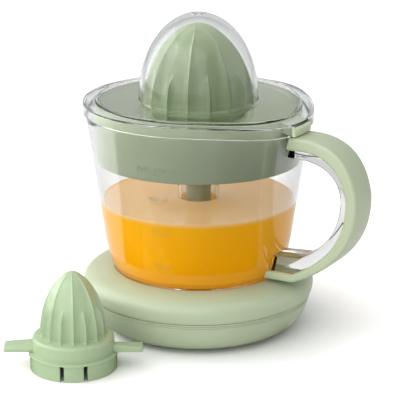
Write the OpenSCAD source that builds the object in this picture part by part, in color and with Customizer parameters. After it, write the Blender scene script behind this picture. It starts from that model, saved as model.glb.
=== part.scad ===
// Electric citrus press: motor base, clear jug with a handle, strainer bowl,
// turning ribbed cone, clear lid, and a spare small cone that stands beside it.
// Millimetres, +Z up. The origin is on the drive axis, on the table.

/* [Base] */
// Widest radius of the base
base_r = 81; // [79.5:0.5:86]
// Radius of the flat underside of the base
under_r = 64.5; // [63:0.5:68]
// Radius that draws the belly of the lower shell outwards
belly_r = 75.5; // [73:0.5:78]
// Radius of the two base shells where they meet
seam_r = 79.3; // [78:0.1:80]
// Height of the line where the two base shells meet
seam_z = 25.5; // [24:0.5:26]
// Gap between the table and the underside
foot_h = 3; // [2:0.5:4]
// Height of the face that the jug stands on
seat_z = 42; // [41.5:0.5:45]
// Height of the rim around the jug's seat
seat_lip = 1.2; // [0.6:0.2:2.4]
// Wall of the base shells
shell_t = 2.2; // [1.8:0.1:2.4]
// Outer radius of the drive tower
tower_r = 8.75; // [8.5:0.25:9.5]
// Height of the top of the drive tower
tower_z = 136; // [130:1:137]
// Radius of the circle on which the feet stand
feet_circle_r = 54; // [50:1:55]
// Radius of a foot
foot_r = 6.5; // [5.5:0.5:7]
// Radius of the circle of base screws
screw_circle_r = 54; // [52:1:56]

/* [Jug] */
// Outer radius at the foot of the jug
jug_foot_r = 58.5; // [55:0.5:59]
// Outer radius where the foot's curve meets the straight wall
jug_knee_r = 65.5; // [64:0.5:67]
// Height where the foot's curve meets the straight wall
jug_knee_z = 67; // [62:1:70]
// Outer radius at the rim
jug_rim_r = 77.8; // [77:0.2:79]
// Height of the rim, away from the handle
rim_z = 154; // [152:0.5:156]
// How far the rim dips at the handle
rim_dip = 6; // [3:0.5:7]
// Wall of the jug
jug_t = 2; // [1.6:0.1:2.4]
// Outer radius of the clear column around the drive tower
column_r = 14.5; // [13.5:0.5:15.5]
// Height of the top of the clear column
column_z = 138; // [137:0.5:139]
// How far the pouring lip stands out from the rim
lip_reach = 7; // [4:0.5:8]

// Height of the juice's surface
juice_z = 92; // [60:1:110]

/* [Handle] */
// Turn of the handle about the drive axis
handle_turn = -30; // [-40:1:-20]
// Width of the handle
handle_w = 26; // [24:0.5:30]
// Distance from the drive axis to the outside of the handle
handle_reach = 126.7; // [122:0.5:132]
// Side wall of the handle cover
cover_t = 2.4; // [2:0.1:3]

/* [Strainer] */
// How far the strainer's wall stands up above the jug's rim
strainer_rise = 6; // [4.5:0.5:7]
// Gap between the strainer's bottom edge and the jug's wall
strainer_gap = 0.4; // [0.3:0.1:1]
// Height of the bowl's underside
bowl_z = 121; // [120.5:0.5:124]
// Wall of the bowl
bowl_t = 2; // [1.6:0.1:2.2]
// Number of slots in the strainer
slots = 30; // [20:2:36]
// Width of a slot
slot_w = 1.8; // [1.2:0.1:2]
// How far the lug over the handle stands out from the jug's rim
lug_out = 3.6; // [2:0.2:4]
// Width of the lug over the handle
lug_w = 24; // [18:1:26]

/* [Large cone] */
// Radius of the large cone
cone_r = 38.3; // [36:0.1:38.4]
// Height of the underside of the large cone
cone_z = 156; // [155.5:0.5:157]
// Height of the ribbed dome of the large cone
cone_h = 56.8; // [52:0.2:57]
// Radius of the skirt under the large cone
skirt_r = 32.5; // [30:0.5:33]
// How far the skirt hangs below the large cone
skirt_h = 5.5; // [3:0.5:6]
// Across-corners radius of the cone's hexagonal stem
stem_r = 8; // [7:0.25:8.5]
// How far the cone and spindle sink when pressed
press_travel = 3; // [2:0.25:3]

/* [Lid] */
// How far the lid's flange stands out from the jug's rim
lid_over = 1.8; // [1:0.2:2.4]
// Outer radius of the lid's dome
dome_r = 41.3; // [41:0.1:43]
// Height of the dome above the flange
dome_h = 59; // [58.6:0.2:62]
// Wall of the lid
lid_t = 1.8; // [1.4:0.1:1.8]

/* [Small cone] */
// Where the spare cone stands, to the left of the drive axis
spare_x = -83; // [-90:1:-80]
// Where the spare cone stands, in front of the drive axis
spare_y = -87; // [-95:1:-85]
// Radius of the spare cone's skirt
spare_skirt_r = 28.9; // [27.5:0.1:30]
// Height of the spare cone's skirt
spare_skirt_h = 12.2; // [10:0.2:14]
// Radius of the spare cone's collar
spare_collar_r = 27.2; // [25.5:0.1:27.4]
// Height of the spare cone's collar
spare_collar_h = 10.8; // [9:0.2:12]
// Radius of the spare cone's ribbed body
spare_r = 22; // [20:0.5:23]
// Height of the spare cone's ribbed body
spare_h = 44; // [38:1:50]
// Distance from the spare cone's axis to the tip of a paddle
paddle_reach = 46; // [40:0.5:50]

/* [Drive] */
// Tooth size of the gears (pitch diameter per tooth)
gear_module = 0.8; // [0.78:0.01:0.82]
// Teeth of the output gear
output_teeth = 60; // [58:1:60]
// Teeth of the idler's large wheel
idler_teeth = 48; // [46:1:48]
// Teeth of the two pinions
pinion_teeth = 12; // [11:1:13]
// Distance from the drive axis to the motor's axis
motor_offset = 42; // [40.5:0.5:43]
// Direction of the motor from the drive axis
motor_turn = 150; // [145:1:155]
// Radius of the motor can
motor_r = 19.5; // [17:0.5:19.5]
// Radius of the spindle
spindle_r = 3; // [2.75:0.05:3]
// Running clearance around shafts
run_gap = 0.05; // [0.03:0.01:0.08]
// Gap between pieces that rest on or lift off each other
rest_gap = 0.1; // [0.08:0.02:0.2]
// Gap between pieces that are fixed together
fixed_gap = 0.02; // [0.01:0.01:0.04]

/* [Hidden] */
$fn = 96;
sage = "#b7c4a5";
clear = [0.9, 0.95, 0.95, 0.4];

// heights inside the base
floor_z = foot_h + shell_t;
ceiling_z = seat_z - shell_t;
plate_z = 26;
plate_t = 2.5;
plate_top = plate_z + plate_t;
wheel_z = plate_top + 0.8;
wheel_t = 3.7;
output_z = wheel_z + wheel_t + 1;
output_t = 4;
shaft_r = 1.5;

// gear train, laid out from the three centre distances
output_pitch_r = gear_module * output_teeth / 2;
idler_pitch_r = gear_module * idler_teeth / 2;
pinion_pitch_r = gear_module * pinion_teeth / 2;
idler_offset = output_pitch_r + pinion_pitch_r;
mesh_distance = idler_pitch_r + pinion_pitch_r;
idler_angle = acos((idler_offset * idler_offset + motor_offset * motor_offset
    - mesh_distance * mesh_distance) / (2 * idler_offset * motor_offset));
idler_turn = motor_turn - idler_angle;
motor_at = motor_offset * [cos(motor_turn), sin(motor_turn)];
idler_at = idler_offset * [cos(idler_turn), sin(idler_turn)];
mesh_turn = atan2(motor_at.y - idler_at.y, motor_at.x - idler_at.x);

// spindle stack
bush_r = 5;
bush_z = plate_z - 2.5;
collar_t = 1.5;
collar_top = bush_z - 0.3;
spring_wire = 0.7;
spring_r = 5.2;
spindle_low = 10;
spindle_top = cone_z + 2;
press_clear = press_travel + 1.5;

// strainer and cone stack
deck_z = column_z + 5;
deck_r = 30;
hub_bore = column_r + 1.1;
neck_r = stem_r + 2.4;
neck_top = deck_z + 6;
stem_low = column_z + press_travel + 2;
dip_start = 30;
jug_slope = (jug_rim_r - jug_knee_r) / (rim_z - jug_knee_z);
bowl_r = jug_knee_r + jug_slope * (bowl_z - jug_knee_z) - jug_t - strainer_gap;
wall_top_r = bowl_r + 0.4;
gutter_r = bowl_r - 8;
lug_bottom = rim_z - rim_dip - 0.3;

// switch frame: s runs outwards from the drive axis
switch_turn = -60;
switch_in = 13;
switch_out = 33;
switch_w = 6.4;
switch_z = floor_z + 2.5;
switch_top = switch_z + 8.5;
plunger_s = 21;
plunger_r = 1.2;
pin_s = 31;
pin_z = switch_top + 1.8;
lever_w = 4;
lever_t = 1;

// ---------- shared shapes ----------

// Points of a quadratic curve from a to c, pulled towards b
function curve(a, b, c, n = 8) =
    [for (i = [0:n]) let (t = i / n) (1 - t) * (1 - t) * a + 2 * t * (1 - t) * b + t * t * c];

function flipped(points) = [for (i = [len(points) - 1:-1:0]) points[i]];

// Half outline of a dome; point above 1 makes the tip more pointed
function dome_line(r, z, h, point = 1, n = 12) =
    [for (i = [0:n]) let (a = 90 * i / n) [r * pow(cos(a), point), z + h * sin(a)]];

module ring(r_out, r_in, z, h) {
    translate([0, 0, z])
        difference() {
            cylinder(r = r_out, h = h);
            translate([0, 0, -1]) cylinder(r = r_in, h = h + 2);
        }
}

module disc(r, z, h) {
    translate([0, 0, z]) cylinder(r = r, h = h);
}

module around(n, r, start = 0) {
    for (i = [0:n - 1]) rotate(start + i * 360 / n) translate([r, 0, 0]) children();
}

// Countersunk-free pan head screw: the head's underside is at head_z
module pan_screw(r, head_r, head_h, head_z, tip_z) {
    disc(head_r, min(head_z, head_z - head_h), head_h);
    disc(r, head_z - 0.1, tip_z - head_z + 0.1);
}

// ---------- base ----------

function lower_line(inset) = curve(
    [under_r - inset / 2, foot_h + inset],
    [belly_r - inset, foot_h + 3 + inset],
    [seam_r - inset, seam_z]);

reveal = 0.6;
lip_t = 1.4;
lip_r = seam_r - shell_t - 0.15;
gland_z = 14;
gland_r = 4.4;
gland_face = seam_r - 2.3;
gland_out = base_r + 9;
base_screw_start = 15;
feet_start = -120;
post_r = 3.6;
post_spots = [
    [30 * cos(20), 30 * sin(20)],
    [30 * cos(-110), 30 * sin(-110)],
    motor_at + 14 * [cos(motor_turn), sin(motor_turn)] + 26 * [-sin(motor_turn), cos(motor_turn)],
    motor_at + 14 * [cos(motor_turn), sin(motor_turn)] - 26 * [-sin(motor_turn), cos(motor_turn)]
];

module at_posts() {
    for (p = post_spots) translate([p.x, p.y, 0]) children();
}

module switch_frame() {
    rotate(switch_turn) children();
}

module vents() {
    for (a = [-36:12:36])
        rotate(motor_turn + a)
            translate([26, -1.1, 0]) cube([16, 2.2, floor_z + 1]);
}

module base_bottom_cover() color(sage) difference() {
    union() {
        rotate_extrude() polygon(concat([[0, foot_h]], lower_line(0),
            flipped(lower_line(shell_t)), [[0, floor_z]]));
        ring(lip_r, lip_r - lip_t, seam_z - 5, 7);
        ring(7.6, spring_r + 0.7, floor_z - 0.5, 4);
        around(4, screw_circle_r, base_screw_start) disc(4.5, floor_z - 0.5, seam_z - floor_z + 0.5);
        around(4, feet_circle_r, feet_start) disc(foot_r + 1.8, floor_z - 0.5, 2.1);
        at_posts() disc(post_r, floor_z - 0.5, plate_z - floor_z + 0.5);
        switch_frame() for (s = [switch_in + 3.5, switch_out - 3.5]) translate([s, 0, 0]) {
            disc(2.5, floor_z - 0.5, switch_z - floor_z + 0.5);
            disc(1.15, floor_z, switch_z + 4 - floor_z);
        }
        translate([0, gland_face, gland_z]) rotate([90, 0, 0]) cylinder(r = 8.5, h = 9);
    }
    around(4, screw_circle_r, base_screw_start) {
        disc(1.75, foot_h - 1, seam_z);
        disc(3.5, foot_h - 1, 6);
    }
    around(4, feet_circle_r, feet_start) disc(foot_r + 0.2, foot_h - 1, 3);
    at_posts() disc(1.3, plate_z - 12, 13);
    disc(foot_r + 0.2, foot_h - 1, 1.8);
    translate([0, gland_out, gland_z]) rotate([90, 0, 0]) {
        cylinder(r = gland_r + fixed_gap, h = gland_out / 2);
        cylinder(r = gland_r + 2.3, h = gland_out - gland_face);
    }
    vents();
}

function upper_line(inset) = concat(
    curve([seam_r + 0.5 - inset, seam_z + reveal],
        [base_r - inset, seam_z + 2.5],
        [base_r - inset, seam_z + 7], 4),
    curve([base_r - inset, seam_z + 7.1],
        [base_r - inset, seat_z - 1 - inset],
        [jug_foot_r + 6 - inset, seat_z + seat_lip - 0.4 - inset], 7));

seat_r = jug_foot_r + 0.8;
tower_bore = tower_r - shell_t;
upper_bush_z = tower_z - 14;
seal_z = tower_z - 4;

module base_top_cover() color(sage) difference() {
    union() {
        rotate_extrude() polygon(concat(
            [[seam_r - shell_t, seam_z], [seam_r - 0.8, seam_z], [seam_r - 0.8, seam_z + reveal]],
            upper_line(0),
            [[seat_r + 1.2, seat_z + seat_lip], [seat_r, seat_z + seat_lip], [seat_r, seat_z]],
            [[0, seat_z], [0, ceiling_z], [seat_r, ceiling_z]],
            flipped(upper_line(shell_t))));
        disc(tower_r, ceiling_z, tower_z - ceiling_z);
        around(4, screw_circle_r, base_screw_start) disc(4.5, seam_z, ceiling_z - seam_z + 0.5);
    }
    disc(tower_bore, ceiling_z - 1, upper_bush_z - 2 - ceiling_z + 1);
    disc(bush_r, upper_bush_z - 3, 4);
    disc(tower_bore, upper_bush_z, tower_z - upper_bush_z + 1);
    around(4, screw_circle_r, base_screw_start) disc(1.62, seam_z - 1, 10);
}

module foot(top) {
    disc(foot_r, 0.6, top - 0.6);
    cylinder(r1 = foot_r - 0.8, r2 = foot_r, h = 0.6);
}

// Four feet near the edge, and a fifth under the spring seat that takes the press
module feet() color("#8d9a80") {
    around(4, feet_circle_r, feet_start) foot(foot_h + 2);
    foot(foot_h + 0.8);
}

module base_screws() color("silver") around(4, screw_circle_r, base_screw_start)
    pan_screw(1.6, 3.2, 2.2, foot_h + 5, seam_z + 8);

module cord_gland() color("#303030") difference() {
    translate([0, 0, gland_z]) rotate([-90, 0, 0]) {
        translate([0, 0, gland_face - 13]) cylinder(r = gland_r, h = 13);
        translate([0, 0, gland_face]) cylinder(r = gland_r + 2, h = 1.8);
        translate([0, 0, gland_face + 1.8]) cylinder(r1 = gland_r, r2 = gland_r - 0.7, h = 3.5);
    }
    translate([0, gland_face + 8, gland_z]) rotate([90, 0, 0]) cylinder(r = 3.1, h = 30);
}

// ---------- gearbox ----------

module gear_plate() color("#d8d8d2") difference() {
    union() {
        disc(34, plate_z, plate_t);
        rotate(motor_turn) translate([0, -26, plate_z]) cube([motor_offset + 16, 52, plate_t]);
        at_posts() disc(5, plate_z, plate_t);
        disc(bush_r + 2, bush_z, plate_top - bush_z + 1.5);
        translate([idler_at.x, idler_at.y, 0]) disc(4, plate_z, plate_t + 0.7);
    }
    disc(bush_r + fixed_gap, bush_z - 1, plate_top);
    translate([idler_at.x, idler_at.y, 0]) disc(shaft_r + fixed_gap, plate_z - 1, 8);
    translate([motor_at.x, motor_at.y, 0]) disc(4.5, plate_z - 1, plate_t + 2);
    at_posts() disc(1.7, plate_z - 1, plate_t + 2);
    motor_ears() disc(1.3, plate_z - 1, plate_t + 2);
}

module plate_screws() color("silver") at_posts() {
    disc(3, plate_top, 1.8);
    disc(1.25, plate_z - 9, plate_t + 9.1);
}

// ---------- motor ----------

motor_z = floor_z + 3;
can_t = 1;
cap_t = 1.2;
cap_z = plate_z - cap_t;
ear_s = motor_r + 3.5;

module at_motor() {
    translate([motor_at.x, motor_at.y, 0]) rotate(motor_turn) children();
}

module motor_ears() {
    at_motor() for (side = [-1, 1]) translate([0, side * ear_s, 0]) children();
}

module motor_can() color("silver") at_motor() difference() {
    disc(motor_r, motor_z, cap_z - motor_z);
    disc(motor_r - can_t, motor_z + can_t, cap_z - motor_z);
    disc(shaft_r + run_gap, motor_z - 1, 4);
}

module motor_cap() color("silver") difference() {
    union() {
        at_motor() disc(motor_r, cap_z, cap_t);
        at_motor() translate([-4, -ear_s, cap_z]) cube([8, 2 * ear_s, cap_t]);
        motor_ears() disc(4, cap_z, cap_t);
    }
    at_motor() disc(shaft_r + run_gap, cap_z - 1, 4);
    motor_ears() disc(1.7, cap_z - 1, cap_t + 2);
}

module motor_screws() color("silver") motor_ears() {
    disc(2.8, cap_z - 1.6, 1.6);
    disc(1.25, cap_z - 0.1, cap_t + plate_t);
}

module motor_coil() color("#b5652b") at_motor()
    ring(motor_r - can_t - 0.4, 12.4, motor_z + can_t + 0.4, cap_z - motor_z - can_t - 0.8);

module motor_rotor() color("#5a5a5a") at_motor() {
    disc(11.6, motor_z + 2.2, cap_z - motor_z - 3.4);
    disc(shaft_r, motor_z - 1.5, wheel_z + wheel_t + 1 - motor_z + 1.5);
}

// ---------- gears ----------

// Straight-flanked teeth, thin enough to leave backlash
function tooth(r, a) = let (
    flank = tan(20),
    half = 0.36 * PI * gear_module / 2,
    top = r + 0.8 * gear_module,
    root = r - 1.1 * gear_module,
    half_top = half - 0.8 * gear_module * flank,
    half_root = half + 1.1 * gear_module * flank)
    [for (p = [[root, -half_root], [top, -half_top], [top, half_top], [root, half_root]])
        [p.x * cos(a) - p.y * sin(a), p.x * sin(a) + p.y * cos(a)]];

module gear(teeth, z, h, first) {
    translate([0, 0, z]) linear_extrude(height = h)
        polygon([for (i = [0:teeth - 1]) each tooth(gear_module * teeth / 2, first + i * 360 / teeth)]);
}

module motor_pinion() color("#e6e2d6") translate([motor_at.x, motor_at.y, 0]) difference() {
    gear(pinion_teeth, wheel_z, wheel_t, mesh_turn + 180 + 180 / pinion_teeth);
    disc(shaft_r + fixed_gap, wheel_z - 1, wheel_t + 2);
}

module idler_axle() color("silver")
    translate([idler_at.x, idler_at.y, 0]) disc(shaft_r, plate_z, ceiling_z - 0.6 - plate_z);

module idler_gear() color("#e6e2d6") translate([idler_at.x, idler_at.y, 0]) difference() {
    union() {
        gear(idler_teeth, wheel_z, wheel_t, mesh_turn);
        gear(pinion_teeth, wheel_z + wheel_t - 0.1, output_t + 1.1,
            idler_turn + 180 + 180 / pinion_teeth);
    }
    disc(shaft_r + run_gap, wheel_z - 1, 20);
}

module output_gear() color("#e6e2d6") difference() {
    union() {
        gear(output_teeth, output_z, output_t, idler_turn);
        disc(7, plate_top + 2.6, output_z + output_t + 0.6 - plate_top - 2.6);
    }
    translate([0, 0, plate_top]) cylinder(r = spindle_r + 2 * run_gap, h = 20, $fn = 6);
}

// ---------- spindle ----------

// Round shaft with two hexagonal lengths: one in the output gear, one in the cone's stem
module spindle() color("silver") {
    disc(spindle_r, spindle_low, plate_top + 2 - spindle_low);
    translate([0, 0, plate_top + 1.9]) cylinder(r = spindle_r, h = 12, $fn = 6);
    disc(spindle_r, plate_top + 13.8, stem_low - 2 - plate_top - 13.8);
    translate([0, 0, stem_low - 2.1])
        cylinder(r = spindle_r, h = spindle_top - stem_low + 2.1, $fn = 6);
}

module thrust_collar() color("silver")
    ring(8, spindle_r + fixed_gap, collar_top - collar_t, collar_t);

module lower_bush() color("#a9814f") difference() {
    union() {
        disc(bush_r, bush_z, plate_top + 1.5 - bush_z);
        disc(bush_r + 1.8, plate_top + 1.5, 0.9);
    }
    disc(spindle_r + run_gap, bush_z - 1, 20);
}

module upper_bush() color("#a9814f")
    ring(tower_bore - fixed_gap, spindle_r + run_gap, upper_bush_z, seal_z - upper_bush_z - 0.2);

module tower_seal() color("#303030") difference() {
    union() {
        disc(tower_bore - fixed_gap, seal_z, 3.2);
        disc(tower_bore - 1.6, seal_z + 3, 1.2);
    }
    disc(spindle_r + run_gap, seal_z - 1, 8);
}

// Wire of square section wound up as a coil between the floor and the collar
module return_spring() color("silver") {
    turns = 6;
    low = floor_z + 0.1;
    high = collar_top - collar_t - 0.1;
    wire_angle = 360 * turns * spring_wire / (high - low);
    translate([0, 0, low])
        linear_extrude(height = high - low, twist = -360 * turns, slices = 20 * turns, $fn = 8)
            polygon(concat(
                [for (a = [0, wire_angle / 2, wire_angle]) spring_r * [cos(a), sin(a)]],
                [for (a = [wire_angle, wire_angle / 2, 0])
                    (spring_r - spring_wire) * [cos(a), sin(a)]]));
}

// ---------- switch ----------

module micro_switch() color("#2c2c2c") switch_frame() difference() {
    union() {
        translate([switch_in, -switch_w / 2, switch_z])
            cube([switch_out - switch_in, switch_w, switch_top - switch_z]);
        for (side = [-1, 1]) translate([pin_s - 1.8, side * 2.75 - 0.45, switch_top - 0.1])
            cube([3.6, 0.9, 3.1]);
        for (s = [plunger_s + 1, plunger_s + 4]) translate([s, -0.3, switch_z - 2])
            cube([0.8, 0.6, 2.1]);
    }
    for (s = [switch_in + 3.5, switch_out - 3.5]) translate([s, 0, 0]) disc(1.2, switch_z - 1, 5.3);
    translate([plunger_s, 0, 0]) disc(plunger_r + run_gap, switch_top - 4, 5);
    translate([pin_s, 10, pin_z]) rotate([90, 0, 0]) cylinder(r = 0.8 + fixed_gap, h = 20);
}

module switch_plunger() color("#c23b2e") switch_frame() translate([plunger_s, 0, 0]) {
    disc(plunger_r, switch_top - 2.2, 3.5);
}

module lever_pin() color("silver") switch_frame()
    translate([pin_s, switch_w / 2, pin_z]) rotate([90, 0, 0]) cylinder(r = 0.8, h = switch_w);

module switch_lever() color("silver") switch_frame() {
    low = switch_top + 1.6;
    tip = collar_top - collar_t - 0.4;
    difference() {
        translate([pin_s, lever_w / 2, pin_z]) rotate([90, 0, 0]) cylinder(r = 1.5, h = lever_w);
        translate([pin_s, 10, pin_z]) rotate([90, 0, 0]) cylinder(r = 0.8 + run_gap, h = 20);
    }
    translate([0, lever_w / 2, 0]) rotate([90, 0, 0]) linear_extrude(height = lever_w)
        polygon([[pin_s - 1.1, low], [plunger_s - 2, low], [6.4, tip - lever_t], [6.4, tip],
            [plunger_s - 2, low + lever_t], [pin_s - 1.1, low + lever_t]]);
}

// ---------- jug ----------

module handle_frame() {
    rotate(handle_turn) children();
}

// Drop of the rim at distance x along the handle's direction
function rim_drop(x) = rim_dip * pow(max(0, x - dip_start) / (jug_rim_r - dip_start), 2);

slab_reach = jug_rim_r + 20;
dip_steps = concat([-slab_reach],
    [for (i = [0:7]) dip_start + (slab_reach - dip_start) * i / 7]);

// Slab that follows the rim, from low to high above it
module rim_slab(low, high) {
    handle_frame() translate([0, slab_reach, 0]) rotate([90, 0, 0])
        linear_extrude(height = 2 * slab_reach) polygon(concat(
            [for (x = dip_steps) [x, rim_z + low - rim_drop(x)]],
            [for (x = flipped(dip_steps)) [x, rim_z + high - rim_drop(x)]]));
}

function wall_line(inset) = concat(
    curve([jug_foot_r - inset, seat_z + rest_gap],
        [jug_knee_r - 2.5 - inset, jug_knee_z - 16],
        [jug_knee_r - inset, jug_knee_z], 5),
    [[jug_rim_r - inset + 4 * jug_slope, rim_z + 4]]);

module jug_solid(inset) {
    rotate_extrude() polygon(concat([[0, seat_z + rest_gap]], wall_line(inset), [[0, rim_z + 4]]));
}

module lip_cone(inset) {
    lip_w = 14;
    lip_drop = 34;
    handle_frame() translate([-(jug_rim_r - lip_w + lip_reach) + 7.5, 0, rim_z - lip_drop])
        rotate([0, -atan(7.5 / lip_drop), 0])
            cylinder(r1 = 4 - inset, r2 = lip_w - inset, h = lip_drop + 4);
}

// Handle outlines in the handle's plane: share 0 is the outside, 1 the cover's inner edge
arm_top = rim_z - rim_dip - 1;
arm_low = seat_z + 2.8;
root_in = jug_rim_r / 2;
root_out = jug_rim_r + 2.2;
function handle_line(share) = let (
    side = handle_reach - 8.5 * share,
    top = arm_top - 9 * share,
    low = arm_low + 6 * share)
    concat([[root_in, top]],
        curve([root_out, top], [side - 6, top + 2.5], [side, arm_top - 38], 12),
        curve([side, arm_top - 38], [side + 2, low + 21], [root_out, low + 0.7], 12),
        [[root_in, low]]);

function grip_line() = let (side = handle_reach - 12.7, top = arm_top - 14.6, low = arm_low + 17)
    concat([[root_in, top]],
        curve([root_out + 4, top], [side - 1, top - 2], [side, arm_top - 41], 8),
        curve([side, arm_top - 41], [side - 2, low + 14.5], [root_out + 4, low + 1.5], 8),
        [[root_in, low]]);

module handle_plate(outline, w) {
    handle_frame() translate([0, w / 2, 0]) rotate([90, 0, 0])
        linear_extrude(height = w) polygon(outline);
}

module jug() color(clear) difference() {
    union() {
        jug_solid(0);
        lip_cone(0);
        difference() {
            handle_plate(handle_line(0.42), handle_w - 2 * cover_t - 0.3);
            handle_plate(grip_line(), handle_w);
        }
    }
    difference() {
        translate([0, 0, jug_t]) jug_solid(jug_t);
        disc(column_r, seat_z, column_z - seat_z);
    }
    difference() {
        lip_cone(jug_t);
        disc(jug_rim_r - 12, 0, rim_z);
    }
    disc(column_r - jug_t, seat_z - 1, column_z - seat_z + 20);
    rim_slab(0, 60);
}

module handle_cover() color(sage) difference() {
    handle_plate(handle_line(0), handle_w);
    handle_plate(handle_line(1), handle_w + 2);
    handle_plate(handle_line(0.38), handle_w - 2 * cover_t);
    rotate_extrude() polygon(concat([[0, 0], [jug_foot_r + 0.2, 0]], wall_line(-0.2),
        [[0, rim_z + 4]]));
}

// The liquid as a plain solid, a little clear of the jug
module orange_juice() color("#f5a51b") difference() {
    intersection() {
        translate([0, 0, jug_t + rest_gap]) jug_solid(jug_t + rest_gap);
        disc(jug_rim_r, 0, juice_z);
    }
    disc(column_r + rest_gap, seat_z, juice_z);
}

// ---------- strainer ----------

module strainer_bowl() {
    high = rim_z + strainer_rise + 1;
    corner = 1;
    rotate_extrude() polygon([
        [hub_bore, bowl_z + 2], [hub_bore, column_z + rest_gap],
        [neck_r + run_gap, column_z + rest_gap], [neck_r + run_gap, neck_top],
        [neck_r + 2, neck_top], [neck_r + 2, deck_z], [deck_r, deck_z],
        [gutter_r, bowl_z + bowl_t], [bowl_r - bowl_t - corner, bowl_z + bowl_t],
        [bowl_r - bowl_t, bowl_z + bowl_t + corner], [wall_top_r - bowl_t, high],
        [wall_top_r, high], [bowl_r, bowl_z + corner], [bowl_r - 0.3 * corner, bowl_z + 0.3 * corner],
        [bowl_r - corner, bowl_z], [gutter_r - 0.5, bowl_z], [deck_r - 1, deck_z - 2],
        [hub_bore + 2, deck_z - 2], [hub_bore + 2, bowl_z + 2]]);
}

// Block that marks out width w over the handle
module over_handle(w) {
    handle_frame() translate([root_in, -w / 2, 0]) cube([jug_rim_r, w, 2 * rim_z]);
}

module strainer() color(sage) {
    difference() {
        strainer_bowl();
        around(slots, deck_r + 3, 180 / slots) translate([0, -slot_w / 2, bowl_z - 1])
            cube([gutter_r - deck_r - 4, slot_w, deck_z - bowl_z + 2]);
        rim_slab(strainer_rise, 60);
    }
    intersection() {
        ring(jug_rim_r + lug_out, wall_top_r - 1, lug_bottom, 20);
        rim_slab(rest_gap, strainer_rise - 0.4);
        over_handle(lug_w);
    }
}

// ---------- cones ----------

// Ribbed dome: main ribs run to the tip, short ribs fill the gaps near the foot
module ribbed_dome(r, z, h, hollow_t, first) {
    core = 0.86 * r;
    difference() {
        union() {
            rotate_extrude() polygon(concat([[0, z]], dome_line(core, z, 0.985 * h, 1.1)));
            intersection() {
                rotate_extrude() polygon(concat([[0, z]], dome_line(r, z, h, 1.15)));
                for (a = [0:45:315]) rotate(first + a) blade(r, z, h);
            }
            intersection() {
                rotate_extrude() polygon(concat([[0, z]], dome_line(0.97 * r, z, 0.62 * h, 0.8)));
                for (a = [0:45:315]) rotate(first + 22.5 + a) blade(r, z, h);
            }
        }
        rotate_extrude() polygon(concat([[0, z - 1], [core - hollow_t, z - 1]],
            dome_line(core - hollow_t, z, 0.95 * h - hollow_t, 1.1)));
    }
}

module blade(r, z, h) {
    translate([0, 0, z]) linear_extrude(height = h)
        polygon([[0, -3], [r, -0.8], [r, 0.8], [0, 3]]);
}

module cone_bush() color("#e6e2d6") difference() {
    union() {
        disc(neck_r, deck_z - 1.9, neck_top - deck_z + 2);
        disc(neck_r + 1.8, neck_top + rest_gap, 1.2);
    }
    translate([0, 0, deck_z - 5]) cylinder(r = stem_r + 0.12, h = 20, $fn = 6);
}

module large_reamer() color(sage) {
    foot = cone_z + 2;
    inner_r = 0.86 * cone_r - 2;
    ribbed_dome(cone_r, foot, cone_h, 2, -101);
    ring(cone_r, skirt_r - 1.8, cone_z, 2);
    ring(skirt_r, skirt_r - 1.8, cone_z - skirt_h, skirt_h + 0.5);
    difference() {
        union() {
            translate([0, 0, stem_low]) cylinder(r = stem_r, h = cone_z + 40 - stem_low, $fn = 6);
            for (a = [0:90:270]) rotate(a) translate([0, -0.9, cone_z])
                cube([inner_r * 0.9, 1.8, cone_h * 0.55]);
        }
        translate([0, 0, stem_low - 1])
            cylinder(r = spindle_r + 0.12, h = spindle_top + 2.5 - stem_low + 1, $fn = 6);
    }
}

// ---------- lid ----------

lid_z = strainer_rise + rest_gap;
flange_z = rim_z + lid_z;
lid_r = jug_rim_r + lid_over;
bead_r = bowl_r + 0.5;
inner_lip_r = wall_top_r - bowl_t - 0.3;

// Ring that follows the rim, from low to high above it
module rim_ring(r_out, r_in, low, high) intersection() {
    ring(r_out, r_in, rim_z - 20, 60);
    rim_slab(low, high);
}

module dust_cover() color(clear) {
    dome_z = rim_z + 9;
    difference() {
        union() {
            rim_ring(lid_r, dome_r - lid_t, lid_z, lid_z + lid_t);
            rim_ring(bead_r, bead_r - 1.8, lid_z + lid_t - 0.1, lid_z + lid_t + 1.3);
            rim_ring(inner_lip_r, inner_lip_r - 1.6, lid_z - 2.5, lid_z + 0.1);
            difference() {
                rim_ring(lid_r, jug_rim_r - 0.4, rest_gap, lid_z + 0.1);
                over_handle(lug_w + 1);
            }
            rotate_extrude() polygon(concat(
                [[dome_r - lid_t, flange_z + 0.1], [dome_r + 3, flange_z + 0.3],
                    [dome_r + 3, flange_z + 1.2]],
                [for (p = dome_line(dome_r, dome_z, dome_h)) p],
                flipped(dome_line(dome_r - lid_t, dome_z, dome_h - lid_t))));
        }
        around(6, 4, 0) disc(0.7, rim_z, 100);
    }
}

// ---------- spare cone ----------

module at_spare() {
    translate([spare_x, spare_y, 0]) children();
}

// Flat paddle with its top sloped down to one edge
module paddle() {
    root = spare_collar_r - 3;
    low = spare_skirt_h;
    difference() {
        translate([0, 6.5, 0]) rotate([90, 0, 0]) linear_extrude(height = 13)
            polygon([[root, low], [paddle_reach, low], [paddle_reach, low + 3.4],
                [root, low + 5.3]]);
        translate([root - 1, 9, low + 1.2]) rotate([-24, 0, 0]) translate([0, -20, 0]) cube([60, 20, 10]);
    }
}

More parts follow.
